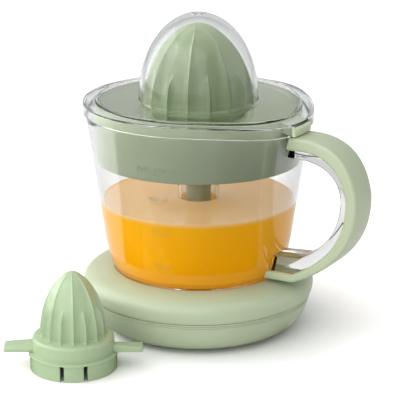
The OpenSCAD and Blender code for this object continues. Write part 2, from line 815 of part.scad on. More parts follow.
module small_reamer() color(sage) at_spare() {
    skirt_t = 1.8;
    roof = spare_skirt_h + spare_collar_h;
    bore_r = spare_skirt_r - skirt_t;
    difference() {
        union() {
            disc(spare_skirt_r, 0, spare_skirt_h);
            disc(spare_skirt_r + 0.8, spare_skirt_h - 2, 2);
            rotate_extrude() polygon(concat([[0, 1]],
                [[spare_collar_r, 1], [spare_collar_r, roof - 2.5]],
                curve([spare_collar_r, roof - 2.5], [spare_collar_r, roof],
                    [spare_collar_r - 2.5, roof], 4), [[0, roof]]));
            for (side = [0, 180]) rotate(side) paddle();
        }
        disc(bore_r, -1, spare_skirt_h - 1);
        disc(spare_collar_r - skirt_t, -1, roof - 1);
        for (turn = [0, 180], side = [-1, 1]) rotate(turn - 86 + side * 15.6)
            translate([spare_skirt_r - 4, -1.4, -1]) cube([6, 2.8, spare_skirt_h - 1.2]);
    }
    ribbed_dome(spare_r, roof - 0.1, spare_h, 2, -85);
    difference() {
        translate([0, 0, 4]) cylinder(r = stem_r, h = roof + 8 - 4, $fn = 6);
        translate([0, 0, 3]) cylinder(r = spindle_r + 0.12, h = 18, $fn = 6);
    }
    ring(spare_collar_r - 1, stem_r - 1, roof - 2, 2);
}

base_top_cover();
base_bottom_cover();
feet();
base_screws();
cord_gland();
gear_plate();
plate_screws();
motor_can();
motor_cap();
motor_screws();
motor_coil();
motor_rotor();
motor_pinion();
idler_axle();
idler_gear();
output_gear();
spindle();
thrust_collar();
lower_bush();
upper_bush();
tower_seal();
return_spring();
micro_switch();
switch_plunger();
switch_lever();
lever_pin();
jug();
orange_juice();
handle_cover();
strainer();
cone_bush();
large_reamer();
dust_cover();
small_reamer();
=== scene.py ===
# %% [markdown]
# # An electric citrus press
# A round motor base drives a ribbed cone. The cone stands in a strainer bowl, the bowl sits in the
# mouth of a clear jug, and a clear lid covers both. A smaller cone for limes stands beside it.
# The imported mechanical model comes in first. It gives the place, the size and the motion of every
# part, and the pieces that show are then modelled over it in finer detail.

# %% Bring in the mechanical model
import math

import bpy
from mathutils import Matrix, Vector


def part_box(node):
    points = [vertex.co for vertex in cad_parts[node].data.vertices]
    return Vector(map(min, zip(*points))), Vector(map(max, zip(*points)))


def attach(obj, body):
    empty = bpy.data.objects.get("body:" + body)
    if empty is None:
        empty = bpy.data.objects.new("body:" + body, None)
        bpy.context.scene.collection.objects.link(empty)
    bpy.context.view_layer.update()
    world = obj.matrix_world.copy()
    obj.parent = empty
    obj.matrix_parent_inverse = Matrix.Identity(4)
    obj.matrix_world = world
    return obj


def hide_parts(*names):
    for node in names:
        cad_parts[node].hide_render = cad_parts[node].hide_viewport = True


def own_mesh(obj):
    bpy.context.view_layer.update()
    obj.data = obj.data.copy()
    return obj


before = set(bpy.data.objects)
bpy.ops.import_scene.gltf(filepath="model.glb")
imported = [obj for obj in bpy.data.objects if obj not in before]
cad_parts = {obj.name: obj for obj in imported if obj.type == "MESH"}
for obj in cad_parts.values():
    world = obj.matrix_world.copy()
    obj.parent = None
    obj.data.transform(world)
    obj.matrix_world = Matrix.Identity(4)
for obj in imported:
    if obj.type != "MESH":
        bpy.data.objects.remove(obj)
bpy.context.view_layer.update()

print("parts in the model:", len(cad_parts))

# %% [markdown]
# ## Sizes
# Everything below is written in millimetres, because that is how moulded kitchen ware is drawn.
# The names repeat the main sizes of the mechanical model, so that each piece lies on its part. The
# screws and the feet of the base lie on one circle, `FIX_R` from the drive axis.

# %% Sizes in millimetres
MM = 0.001
UNDER_R, FOOT_H, SEAM_R, SEAM_Z = 64.5, 3.0, 79.3, 25.5
BASE_R, SEAT_Z, SEAT_R = 81.0, 42.0, 59.3
TOWER_R, TOWER_Z = 8.75, 136.0
RIM_R, RIM_Z, RIM_DIP, DIP_START = 77.8, 154.0, 6.0, 30.0
KNEE_R, KNEE_Z = 65.5, 67.0
WALL = 2.0
COLUMN_R, COLUMN_Z = 14.5, 138.0
SLOPE = (RIM_R - KNEE_R) / (RIM_Z - KNEE_Z)
BOWL_Z, RISE = 121.0, 6.0
BOWL_R = KNEE_R + SLOPE * (BOWL_Z - KNEE_Z) - WALL - 0.4
WALL_TOP_R = BOWL_R + 0.4
LUG_R, LUG_W = RIM_R + 3.6, 24.0
LID_R, LID_Z = RIM_R + 1.8, RIM_Z + RISE + 0.1
HANDLE = math.radians(-30)
SPOUT = math.radians(150)
SPARE = Vector((-83.0, -87.0, 0.0))
JUICE_Z = 92.0
SHELL = 2.2
FIX_R, SCREW_TURN, FOOT_TURN = 54.0, math.radians(15), math.radians(-120)
CONE_R, CONE_Z, CONE_H = 38.3, 158.0, 56.8
SMALL_R, SMALL_Z, SMALL_H = 22.0, 22.9, 44.0
STEM_R = 8.0


def hand(r, z, side=0.0):
    """A point in the handle's upright plane, `side` millimetres out of it."""
    cos, sin = math.cos(HANDLE), math.sin(HANDLE)
    return (r * cos - side * sin, r * sin + side * cos, z)


def rim_drop(x, y):
    """How far the rim dips at a place: it runs down towards the handle."""
    along = x * math.cos(HANDLE) + y * math.sin(HANDLE)
    return RIM_DIP * (max(0.0, along - DIP_START) / (RIM_R - DIP_START)) ** 2


print("rim dips by", rim_drop(*hand(RIM_R, 0)[:2]), "mm at the handle")

# %% [markdown]
# ## Modelling helpers
# Most parts of a press are turned or drawn as an outline, so two moves make nearly all of them:
# a chain of edges that is extruded point by point, and a spin of that chain round the drive axis.
# The helpers here do those moves with the same operators that a modeller would use by hand.

# %% Selecting and drawing
def nothing_selected():
    if bpy.context.object and bpy.context.object.mode != "OBJECT":
        bpy.ops.object.mode_set(mode="OBJECT")
    bpy.ops.object.select_all(action="DESELECT")


def take(obj):
    nothing_selected()
    obj.select_set(True)
    bpy.context.view_layer.objects.active = obj


def chain(name, points):
    """Extrudes one vertex along points given in millimetres, and stays in edit mode."""
    nothing_selected()
    bpy.ops.mesh.primitive_plane_add(size=MM, location=Vector(points[0]) * MM)
    obj = bpy.context.object
    obj.name = obj.data.name = name
    bpy.ops.object.transform_apply(location=True, rotation=False, scale=False)
    bpy.ops.object.mode_set(mode="EDIT")
    bpy.ops.mesh.select_all(action="SELECT")
    bpy.ops.mesh.merge(type="CENTER")
    for a, b in zip(points, points[1:]):
        bpy.ops.mesh.extrude_vertices_move(
            TRANSFORM_OT_translate={"value": (Vector(b) - Vector(a)) * MM})
    bpy.ops.mesh.select_all(action="SELECT")
    return obj


def tidy_mesh():
    """Merges doubles and turns all faces outwards, then leaves edit mode."""
    bpy.ops.mesh.select_all(action="SELECT")
    bpy.ops.mesh.remove_doubles(threshold=2e-6)
    bpy.ops.mesh.normals_make_consistent(inside=False)
    bpy.ops.object.mode_set(mode="OBJECT")


def turned(name, outline, steps=144):
    """Spins an outline of (radius, height) points round the drive axis."""
    obj = chain(name, [(r, 0, z) for r, z in outline])
    bpy.ops.mesh.spin(steps=steps, angle=2 * math.pi, center=(0, 0, 0), axis=(0, 0, 1))
    tidy_mesh()
    return obj


def plate(name, outline, offset):
    """Fills a closed outline and extrudes it by offset, all in millimetres."""
    obj = chain(name, list(outline) + [outline[0]])
    bpy.ops.mesh.remove_doubles(threshold=2e-6)
    bpy.ops.mesh.edge_face_add()
    bpy.ops.mesh.extrude_region_move(TRANSFORM_OT_translate={"value": Vector(offset) * MM})
    tidy_mesh()
    return obj


def peg(name, radius, low, high, x=0.0, sides=48):
    """A round or many-sided peg from one height to another."""
    nothing_selected()
    bpy.ops.mesh.primitive_cone_add(
        vertices=sides, radius1=radius * MM, radius2=radius * MM, depth=(high - low) * MM,
        location=(x * MM, 0, (low + high) / 2 * MM), rotation=(0, 0, math.radians(90)))
    obj = bpy.context.object
    obj.name = name
    bpy.ops.object.transform_apply(location=True, rotation=True, scale=True)
    return obj


def slab(name, low, high, turn=0.0):
    """A box between two corners, turned about the drive axis."""
    nothing_selected()
    middle = (Vector(low) + Vector(high)) / 2 * MM
    bpy.ops.mesh.primitive_cube_add(size=1, location=middle)
    obj = bpy.context.object
    obj.name = name
    obj.scale = (Vector(high) - Vector(low)) * MM
    bpy.ops.object.transform_apply(location=True, rotation=True, scale=True)
    obj.data.transform(Matrix.Rotation(turn, 4, "Z"))
    return obj


# %% Curves for outlines
def bend(a, b, c, parts):
    """Points of a smooth bend from a to c, drawn towards b."""
    out = []
    for i in range(parts + 1):
        t = i / parts
        out.append(tuple((1 - t) ** 2 * p + 2 * t * (1 - t) * q + t * t * s
                         for p, q, s in zip(a, b, c)))
    return out


def soft(corners, parts=4, closed=True):
    """Rounds an outline. A corner is (r, z), or (r, z, cut) to be rounded by `cut` each way."""
    out = []
    for i, corner in enumerate(corners):
        here = Vector(corner[:2])
        if len(corner) < 3:
            out.append(tuple(here))
            continue
        before = Vector(corners[i - 1][:2])
        after = Vector(corners[(i + 1) % len(corners)][:2])
        a = here + (before - here).normalized() * corner[2]
        b = here + (after - here).normalized() * corner[2]
        out += bend(tuple(a), tuple(here), tuple(b), parts)
    return out + out[:1] if closed else out


def dome(radius, foot, height, parts, point=1.0):
    """Half outline of a dome, from its foot up to the tip. `point` above 1 makes it pointed."""
    out = []
    for i in range(parts + 1):
        a = math.pi / 2 * i / parts
        out.append((radius * max(0.0, math.cos(a)) ** point, foot + height * math.sin(a)))
    out[-1] = (0.0, foot + height)
    return out


# %% Joining, cutting and finishing
def apply_modifier(obj, kind, **settings):
    take(obj)
    modifier = obj.modifiers.new(kind.title(), kind)
    for key, value in settings.items():
        setattr(modifier, key, value)
    bpy.ops.object.modifier_apply(modifier=modifier.name)


def boolean(obj, tool, operation):
    apply_modifier(obj, "BOOLEAN", operation=operation, solver="EXACT", object=tool)
    bpy.data.objects.remove(tool)


def bevelled(obj, width, segments=3, angle=35):
    apply_modifier(obj, "BEVEL", width=width * MM, segments=segments, limit_method="ANGLE",
                   angle_limit=math.radians(angle), use_clamp_overlap=True)


def joined(name, objs):
    nothing_selected()
    for obj in objs:
        obj.select_set(True)
    bpy.context.view_layer.objects.active = objs[0]
    if len(objs) > 1:
        bpy.ops.object.join()
    objs[0].name = objs[0].data.name = name
    return objs[0]


def around(obj, count, first=0.0):
    """Copies of a piece round the drive axis, each with its own mesh."""
    out = []
    for i in range(count):
        copy = obj.copy()
        copy.data = obj.data.copy()
        bpy.context.collection.objects.link(copy)
        copy.data.transform(Matrix.Rotation(first + 2 * math.pi * i / count, 4, "Z"))
        out.append(copy)
    bpy.data.objects.remove(obj)
    return out


def moved(obj, shift):
    obj.data.transform(Matrix.Translation(Vector(shift) * MM))
    return obj


def done(obj, finish, body, *parts, angle=30):
    """Gives a piece its finish, its smooth shading and the body it moves with."""
    obj.data.materials.clear()
    obj.data.materials.append(finish)
    take(obj)
    bpy.ops.object.shade_smooth_by_angle(angle=math.radians(angle))
    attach(obj, body)
    if parts:
        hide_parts(*parts)
    size = [round(d / MM, 1) for d in obj.dimensions]
    print(obj.name, size, "mm,", len(obj.data.polygons), "faces")
    return obj


# %% [markdown]
# ## Finishes
# Colours are written as sRGB hex values and turned to linear light by one function. A second
# function adds a node, sets it and links it. Patterns read object coordinates in metres, so a
# scale of 1000 divided by a size in millimetres gives a pattern of that size.

# %% Colour and node helpers
def colour(code):
    parts = [int(code[i:i + 2], 16) / 255 for i in (1, 3, 5)]
    linear = [c / 12.92 if c <= 0.04045 else ((c + 0.055) / 1.055) ** 2.4 for c in parts]
    return (*linear, 1.0)


def add_node(tree, kind, settings=None, links=None):
    made = tree.nodes.new("ShaderNode" + kind)
    for key, value in (settings or {}).items():
        if key in made.inputs:
            made.inputs[key].default_value = value
        else:
            setattr(made, key, value)
    for key, socket in (links or {}).items():
        tree.links.new(socket, made.inputs[key])
    return made


def new_finish(name):
    material = bpy.data.materials.new(name)
    material.use_nodes = True
    material.node_tree.nodes.clear()
    return material, material.node_tree


def per_mm(size):
    """The texture scale that gives a pattern of this size in millimetres."""
    return 1 / (size * MM)


# %% [markdown]
# ### Moulded plastics
# The body is ABS, a common moulding plastic. Its mould is polished, then lightly sanded, which
# gives a satin face with a soft highlight. The colour drifts a little where the plastic flowed,
# and a very fine bump keeps the highlight from looking like glass. One function makes this and the
# plainer plastics inside, because they differ only in colour, roughness and grain.

# %% Satin moulded plastic
def moulded_plastic(name, light, dark, roughness, grain_mm=0.9, bump=0.05):
    material, tree = new_finish(name)
    place = add_node(tree, "TexCoord")
    flow = add_node(tree, "TexNoise", {"Scale": per_mm(45), "Detail": 3.0, "Roughness": 0.5},
                    {"Vector": place.outputs["Object"]})
    tint = add_node(tree, "ValToRGB", links={"Fac": flow.outputs["Fac"]})
    tint.color_ramp.elements[0].position = 0.3
    tint.color_ramp.elements[0].color = colour(dark)
    tint.color_ramp.elements[1].position = 0.7
    tint.color_ramp.elements[1].color = colour(light)
    grain = add_node(tree, "TexNoise", {"Scale": per_mm(grain_mm), "Detail": 2.0},
                     {"Vector": place.outputs["Object"]})
    rough = add_node(tree, "MapRange", {"To Min": roughness - 0.04, "To Max": roughness + 0.04},
                     {"Value": grain.outputs["Fac"]})
    relief = add_node(tree, "Bump", {"Strength": bump, "Distance": 0.05 * MM},
                      {"Height": grain.outputs["Fac"]})
    shader = add_node(tree, "BsdfPrincipled", {"IOR": 1.53},
                      {"Base Color": tint.outputs["Color"], "Roughness": rough.outputs["Result"],
                       "Normal": relief.outputs["Normal"]})
    add_node(tree, "OutputMaterial", links={"Surface": shader.outputs["BSDF"]})
    return material


# Satin sage green: one broad highlight on each rounded edge
sage_abs = moulded_plastic("sage_green_moulded_abs", "#B5C1A3", "#AFBB9D", 0.32)
# The bowl is the same sage plastic, painted paler: painted light that makes up for light lost
# through the jug's wall
bowl_abs_painted_light = moulded_plastic("sage_abs_with_painted_light", "#CED7B8", "#C8D1B2", 0.3)
# The cones come from a more polished mould. The large one is painted a deeper green: painted shade
# for the shade under the lid's dome
cone_abs_painted_shade = moulded_plastic("sage_abs_with_painted_shade", "#9DAC86", "#97A580", 0.22)
small_cone_abs = moulded_plastic("light_sage_moulded_abs", "#A9BD99", "#A3B793", 0.22)
# Nylon and acetal: off-white, dull, a little waxy
nylon = moulded_plastic("white_moulded_nylon", "#DEDDD6", "#D5D4CC", 0.5)
acetal = moulded_plastic("cream_moulded_acetal", "#EAE6DA", "#E2DDCF", 0.38)
black_pbt = moulded_plastic("black_moulded_pbt", "#26272A", "#1E1F21", 0.5)
red_button = moulded_plastic("red_moulded_abs", "#B8332A", "#A82C24", 0.35)
# Rubber: no gloss, a slightly chalky grain
black_rubber = moulded_plastic("black_moulded_rubber", "#2B2B2C", "#222223", 0.75, 1.4, 0.15)
foot_rubber = moulded_plastic("grey_green_moulded_rubber", "#8C967F", "#828C75", 0.7, 1.4, 0.15)
print("plastics made")

# %% [markdown]
# ### Clear plastic
# The jug and lid are clear SAN. The wall is polished, with a faint waviness from moulding. Where
# it is seen edge on, light goes a long way through the plastic and loses a little, so its edges
# are grey: a ramp over the facing angle does this. Real light reaches the juice through the wall,
# but a path tracer finds that hard, so shadow rays pass straight through with a small loss.

# %% Clear polished plastic
def clear_plastic(name, edge, roughness, wave_mm, bump, bending):
    material, tree = new_finish(name)
    place = add_node(tree, "TexCoord")
    wave = add_node(tree, "TexNoise", {"Scale": per_mm(wave_mm), "Detail": 1.0},
                    {"Vector": place.outputs["Object"]})
    relief = add_node(tree, "Bump", {"Strength": bump, "Distance": 0.2 * MM},
                      {"Height": wave.outputs["Fac"]})
    facing = add_node(tree, "LayerWeight", {"Blend": 0.5})
    tint = add_node(tree, "ValToRGB", links={"Fac": facing.outputs["Facing"]})
    tint.color_ramp.elements[0].position = 0.35
    tint.color_ramp.elements[0].color = colour("#FCFEFE")
    tint.color_ramp.elements[1].color = colour(edge)
    shader = add_node(tree, "BsdfPrincipled",
                      {"Roughness": roughness, "IOR": bending, "Transmission Weight": 1.0},
                      {"Base Color": tint.outputs["Color"], "Normal": relief.outputs["Normal"]})
    lit = add_node(tree, "BsdfTransparent", {"Color": colour("#FCFEFD")})
    ray = add_node(tree, "LightPath")
    both = add_node(tree, "MixShader", links={"Fac": ray.outputs["Is Shadow Ray"]})
    tree.links.new(shader.outputs["BSDF"], both.inputs[1])
    tree.links.new(lit.outputs["BSDF"], both.inputs[2])
    add_node(tree, "OutputMaterial", links={"Surface": both.outputs["Shader"]})
    return material


# The jug's wall: 2 mm thick, so its edges look grey
clear_san = clear_plastic("clear_polished_san", "#C2C5C6", 0.0, 60, 0.1, 1.48)
# The lid: thinner, so it bends the view less and has pale edges
lid_san = clear_plastic("clear_thin_san", "#E4E6E8", 0.0, 60, 0.1, 1.28)
# The relief of the scale: matt, so that it can be read
frosted_san = clear_plastic("clear_matt_san_relief", "#D8DAD8", 0.25, 3, 0.3, 1.48)
print("clear plastics made")

# %% [markdown]
# ### Metals
# Zinc-plated steel is bright with a faint bluish cloud. Ground steel shows fine rings. Copper wire
# is a coil of round strands under enamel, and sintered bronze is dull with open pores.

# %% Metals
def metal(name, light, dark, roughness, grain_mm, bump, stretch=(1, 1, 1)):
    material, tree = new_finish(name)
    place = add_node(tree, "TexCoord")
    turn = add_node(tree, "Mapping", {"Scale": stretch}, {"Vector": place.outputs["Object"]})
    grain = add_node(tree, "TexNoise", {"Scale": per_mm(grain_mm), "Detail": 4.0},
                     {"Vector": turn.outputs["Vector"]})
    tint = add_node(tree, "ValToRGB", links={"Fac": grain.outputs["Fac"]})
    tint.color_ramp.elements[0].color = colour(dark)
    tint.color_ramp.elements[1].color = colour(light)
    rough = add_node(tree, "MapRange", {"To Min": roughness - 0.06, "To Max": roughness + 0.06},
                     {"Value": grain.outputs["Fac"]})
    relief = add_node(tree, "Bump", {"Strength": bump, "Distance": 0.05 * MM},
                      {"Height": grain.outputs["Fac"]})
    shader = add_node(tree, "BsdfPrincipled", {"Metallic": 1.0},
                      {"Base Color": tint.outputs["Color"], "Roughness": rough.outputs["Result"],
                       "Normal": relief.outputs["Normal"]})
    add_node(tree, "OutputMaterial", links={"Surface": shader.outputs["BSDF"]})
    return material


zinc_steel = metal("zinc_plated_steel", "#C9CDD2", "#B4B9BF", 0.32, 6, 0.1)
ground_steel = metal("ground_steel", "#C2C3C6", "#A9AAAD", 0.25, 2, 0.15, (1, 1, 12))
lamination = metal("laminated_iron", "#77787B", "#5E5F62", 0.45, 1.5, 0.3, (1, 1, 10))
copper_wire = metal("enamelled_copper_wire", "#B8693A", "#8E4A26", 0.3, 1.2, 0.5, (1, 1, 8))
sintered_bronze = metal("sintered_bronze", "#A98B5C", "#876C43", 0.5, 0.8, 0.4)
print("metals made")

# %% [markdown]
# ### Juice
# Orange juice is cloudy: light goes in a little way and comes back a strong yellow-orange. The top
# carries a pale layer of fine pulp. The colour is set by height, and soft noise stands for pulp.
# The juice creeps up the wall by `CREEP`. A weak glow stands for the light that scatters through
# it.

# %% Cloudy juice
CREEP = 0.6


def cloudy_juice():
    material, tree = new_finish("cloudy_orange_juice")
    place = add_node(tree, "TexCoord")
    pulp = add_node(tree, "TexNoise", {"Scale": per_mm(9), "Detail": 5.0, "Roughness": 0.6},
                    {"Vector": place.outputs["Object"]})
    axes = add_node(tree, "SeparateXYZ", links={"Vector": place.outputs["Object"]})
    drift = add_node(tree, "MapRange", {"To Min": -0.5 * MM, "To Max": 0.5 * MM},
                     {"Value": pulp.outputs["Fac"]})
    height = add_node(tree, "Math", {"operation": "ADD"})
    tree.links.new(axes.outputs["Z"], height.inputs[0])
    tree.links.new(drift.outputs["Result"], height.inputs[1])
    level = add_node(tree, "MapRange", {"From Min": 44 * MM, "From Max": (JUICE_Z + CREEP) * MM},
                     {"Value": height.outputs["Value"]})
    body = add_node(tree, "ValToRGB", links={"Fac": level.outputs["Result"]})
    ramp = body.color_ramp
    ramp.elements[0].color = colour("#F7AC00")
    ramp.elements[1].color = colour("#FFD3AE")
    for spot, code in ((0.35, "#FFB900"), (0.93, "#FFBE1A"), (0.975, "#FFCC7A")):
        ramp.elements.new(spot).color = colour(code)
    shader = add_node(tree, "BsdfPrincipled",
                      {"Roughness": 0.22, "IOR": 1.35, "Subsurface Weight": 0.25,
                       "Subsurface Radius": (1.0, 0.5, 0.15), "Subsurface Scale": 6 * MM,
                       "Emission Strength": 0.22},
                      {"Base Color": body.outputs["Color"],
                       "Emission Color": body.outputs["Color"]})
    add_node(tree, "OutputMaterial", links={"Surface": shader.outputs["BSDF"]})
    return material


juice_finish = cloudy_juice()
print("juice made")

# %% [markdown]
# ## Motor base
# Two moulded shells make the base. The upper one is a rounded cushion with a round seat for the
# jug and a tall tower for the drive shaft. Both are turned from one outline. The outline is
# closed, so the shell has a real wall all round, and small rounded corners catch the light at its
# edges.

# %% Upper shell of the base
def upper_curve(inset, parts):
    low = bend((SEAM_R + 0.5 - inset, SEAM_Z + 0.6), (BASE_R - inset, SEAM_Z + 2.5),
               (BASE_R - inset, SEAM_Z + 7), parts)
    high = bend((BASE_R - inset, SEAM_Z + 7), (BASE_R - inset, SEAT_Z - 1 - inset),
                (SEAT_R + 5.2 - inset, SEAT_Z + 0.8 - inset), 2 * parts)
    return low + high[1:]


outside = upper_curve(0, 12)
bore_r, seal_z, under_z = 6.55, 122.0, SEAT_Z - SHELL
seat = soft([outside[-1], (SEAT_R, SEAT_Z + 1.2, 0.6), (SEAT_R, SEAT_Z, 0.4),
             (TOWER_R, SEAT_Z, 1.2), (TOWER_R, TOWER_Z, 0.7), (bore_r, TOWER_Z, 0.4),
             (bore_r, seal_z), (5, seal_z), (5, seal_z - 2), (bore_r, seal_z - 2),
             (bore_r, under_z), (SEAT_R, under_z)], closed=False)[1:]
inside = upper_curve(SHELL, 12)[::-1]
base_top = turned("base_upper_shell", outside + seat + inside + [
    (77.1, SEAM_Z), (78.5, SEAM_Z), (78.5, SEAM_Z + 0.6), outside[0]], steps=192)
bosses = around(peg("boss", 4.5, SEAM_Z, 40.5, FIX_R), 4, SCREW_TURN)
base_top = joined("base_upper_shell", [base_top] + bosses)
done(base_top, sage_abs, "base", "base_top_cover")

# %% [markdown]
# The lower shell curves in to a flat underside. Two fine grooves run just under the seam. Recesses
# hold the rubber feet and the screws, and slots under the motor let warm air out. Those are cut
# with boolean modifiers, as a mould maker would sink them into a plain form.

# %% Lower shell of the base
def lower_curve(inset, parts=24):
    return bend((UNDER_R - inset / 2, FOOT_H + inset), (75.5 - inset, FOOT_H + 3 + inset),
                (SEAM_R - inset, SEAM_Z), parts)


def grooved(line, heights, depth=0.35):
    """Pulls an outline in by a little at the given heights."""
    out = []
    for r, z in line:
        out.append((r, z))
    for h in heights:
        for i in range(len(out) - 1):
            (r0, z0), (r1, z1) = out[i], out[i + 1]
            if z0 < h <= z1:
                t = (h - z0) / (z1 - z0)
                r = r0 + t * (r1 - r0)
                slope = (r1 - r0) / (z1 - z0)
                out[i + 1:i + 1] = [(r - 0.4 * slope, h - 0.4), (r - depth, h - 0.15),
                                    (r - depth, h + 0.15), (r + 0.4 * slope, h + 0.4)]
                break
    return sorted(out, key=lambda p: p[1])


outer = grooved(lower_curve(0), (22.6, 24.0))
base_bottom = turned("base_lower_shell", [(0, FOOT_H)] + outer + [
    (SEAM_R, SEAM_Z), (77.1, SEAM_Z), (77.0, SEAM_Z + 2), (75.6, SEAM_Z + 2), (75.6, SEAM_Z - 4)]
    + lower_curve(SHELL)[::-1][5:] + [(0, FOOT_H + SHELL)], steps=192)
cutters = around(peg("cut", 1.75, 2, 26, FIX_R), 4, SCREW_TURN)
cutters += around(peg("cut", 3.5, 2, 8, FIX_R, sides=32), 4, SCREW_TURN)
cutters += around(peg("cut", 6.7, 2, 5, FIX_R), 4, FOOT_TURN) + [peg("cut", 6.7, 2, 3.8)]
for i in range(-3, 4):
    cutters.append(slab("cut", (26, -1.1, 2), (42, 1.1, 6.2), math.radians(150 + 12 * i)))
bosses = around(peg("boss", 4.5, 4.7, SEAM_Z, FIX_R), 4, SCREW_TURN)
bosses += around(peg("boss", 8.3, 4.7, 6.8, FIX_R), 4, FOOT_TURN)
to_back = Matrix.Translation((0, 0, 14 * MM)) @ Matrix.Rotation(math.radians(-90), 4, "X")
for name, radius, low, high, group in (("boss", 8.5, 68, 77, bosses),
                                       ("cut", 4.42, 50, 78, cutters),
                                       ("cut", 6.7, 77, 84, cutters)):
    sleeve = peg(name, radius, low, high)
    sleeve.data.transform(to_back)
    group.append(sleeve)
for boss in bosses:
    boolean(base_bottom, boss, "UNION")
for cutter in cutters:
    boolean(base_bottom, cutter, "DIFFERENCE")
done(base_bottom, sage_abs, "base", "base_bottom_cover")

# %% [markdown]
# Soft rubber feet sit in round recesses: four near the edge, and a thinner one under the spring
# that takes the press. A foot is a low button: a spun outline with a rounded edge and a shallow
# dish below, so that it grips. One is made and the others are copied from it. The screws are pan
# heads with a cross recess, sunk deep in the underside.

# %% Feet and screws
def button(top):
    edge = soft([(4.6, 0.5), (5.2, 0, 0.3), (6.5, 0, 0.9), (6.5, top, 0.3)], closed=False)
    return turned("foot", [(0, 0.5)] + edge + [(0, top)], steps=48)


outer_feet = around(moved(button(5.0), (FIX_R, 0, 0)), 4, FOOT_TURN)
feet = joined("rubber_feet", outer_feet + [button(3.8)])
done(feet, foot_rubber, "base", "feet")

head = turned("screw", soft([(0, 5.8), (3.2, 5.8, 0.9), (3.2, 8.0), (1.6, 8.0), (1.6, 32.7, 0.5),
                             (0, 33.5)], closed=False), steps=32)
for turn in (0, 90):
    slot_cut = slab("cut", (-2.0, -0.35, 5), (2.0, 0.35, 7.0))
    slot_cut.data.transform(Matrix.Rotation(math.radians(turn), 4, "Z"))
    boolean(head, slot_cut, "DIFFERENCE")
screws = joined("base_screws_cross", around(moved(head, (FIX_R, 0, 0)), 4, SCREW_TURN))
done(screws, zinc_steel, "base", "base_screws")

# %% [markdown]
# A soft rubber gland lines the hole where a mains lead would enter at the back. It is spun as a
# stepped sleeve with two flex grooves and then laid down to point backwards.

# %% Lead gland
gland = turned("lead_gland", soft([
    (4.4, 64), (4.4, 77), (6.4, 77, 0.5), (6.4, 78.8, 0.5), (4.5, 78.8), (4.4, 79.6), (3.8, 79.9),
    (3.8, 80.5), (4.2, 80.8), (3.9, 82.3, 0.3), (3.1, 82.3), (3.1, 64)]), steps=48)
gland.data.transform(to_back)
done(gland, black_rubber, "base", "cord_gland")

# %% [markdown]
# ## Clear jug
# The jug is one moulding: a bucket with a hollow column up its middle, a pouring lip and the clear
# inner half of the handle. The bucket is turned from a closed outline 2 mm thick. Its rim dips
# towards the handle, and no operator follows a formula, so those vertices are moved in a loop.

# %% Jug body
def jug_wall(inset, parts=16):
    foot_r = 58.5
    curve = bend((foot_r - inset, SEAT_Z + 0.1), (KNEE_R - 2.5 - inset, KNEE_Z - 16),
                 (KNEE_R - inset, KNEE_Z), parts)
    rows = [(KNEE_R - inset + SLOPE * (z - KNEE_Z), z) for z in (80, 95, 110, 125, 135, 142, 148)]
    return curve + rows


def dip(obj, weight):
    """Lowers vertices as the rim dips, by a share that weight(r, z) gives."""
    for v in obj.data.vertices:
        x, y, z = v.co / MM
        v.co.z -= rim_drop(x, y) * weight(math.hypot(x, y), z) * MM


def fade(value, low, high):
    t = min(1.0, max(0.0, (value - low) / (high - low)))
    return t * t * (3 - 2 * t)


jug_outline = [(12.5, 42.5), (13.2, 42.1)] + [(57.6, 42.1), (58.3, 42.4)] + jug_wall(0)[1:] + soft(
    [(77.0, 148), (RIM_R, RIM_Z, 0.9), (RIM_R - WALL, RIM_Z, 0.9), (75.0, 148)], closed=False)[1:-1]
jug_outline += [(r, z) for r, z in jug_wall(WALL)[::-1] if z > 46.5]
jug_outline += bend((56.9, 46.5), (56.2, 44.1), (54.0, 44.1), 6) + bend(
    (COLUMN_R + 2.5, 44.1), (COLUMN_R, 44.1), (COLUMN_R, 46.6), 5)
jug_outline += [(COLUMN_R, z) for z in (70, 95, 120)] + soft(
    [(COLUMN_R, 130), (COLUMN_R, COLUMN_Z, 0.8), (12.5, COLUMN_Z, 0.8), (12.5, 130)], closed=False)
jug_outline += [(12.5, 100), (12.5, 70), (12.5, 42.5)]
jug = turned("clear_jug", jug_outline, steps=192)
print("jug turned,", len(jug.data.vertices), "vertices")

# %% [markdown]
# The clear half of the handle is drawn as an outline in the handle's plane, filled, and extruded
# to its width. Its ends run a little way into the wall, and a boolean union makes one solid of
# both, so no inner face is left to bend the light. The pouring lip is pushed out of the rim
# afterwards.

# %% Handle outlines
ARM_TOP, ARM_LOW, REACH = RIM_Z - RIM_DIP - 1, SEAT_Z + 2.8, 126.7


def handle_line(share, top_end, low_end, parts=24):
    """Outline of the handle: share 0 is the outside, share 1 the cover's inner edge."""
    side, top, low = REACH - 8.5 * share, ARM_TOP - 9 * share, ARM_LOW + 6 * share
    upper = bend((80, top), (side - 6, top + 2.5), (side, 109), parts)
    lower = bend((side, 109), (side + 2, low + 21), (80, low + 0.7), parts)
    return [(top_end, top)] + upper + lower[1:] + [(low_end, low)]


def grip_line(top_end, low_end, parts=24):
    """Outline of the liner's inner edge, which the fingers touch."""
    side, top, low = REACH - 12.7, ARM_TOP - 14.6, ARM_LOW + 17
    upper = bend((84, top), (side - 1, top - 2), (side, 106), parts)
    lower = bend((side, 106), (side - 2, low + 14.5), (84, low + 1.5), parts)
    return [(top_end, top)] + upper + lower[1:] + [(low_end, low)]


def across(name, outline, half):
    """An outline in the handle's plane, made `half` wide to each side of it."""
    return plate(name, [hand(r, z, half) for r, z in outline],
                 Vector(hand(0, 0, -half)) - Vector(hand(0, 0, half)))


liner_line = handle_line(0.42, 75.6, 60.4) + grip_line(74.0, 63.8)[::-1]
liner = across("liner", liner_line, 10.45)
bevelled(liner, 0.9, 3, 40)
boolean(jug, liner, "UNION")
print("handle liner joined,", len(jug.data.vertices), "vertices")

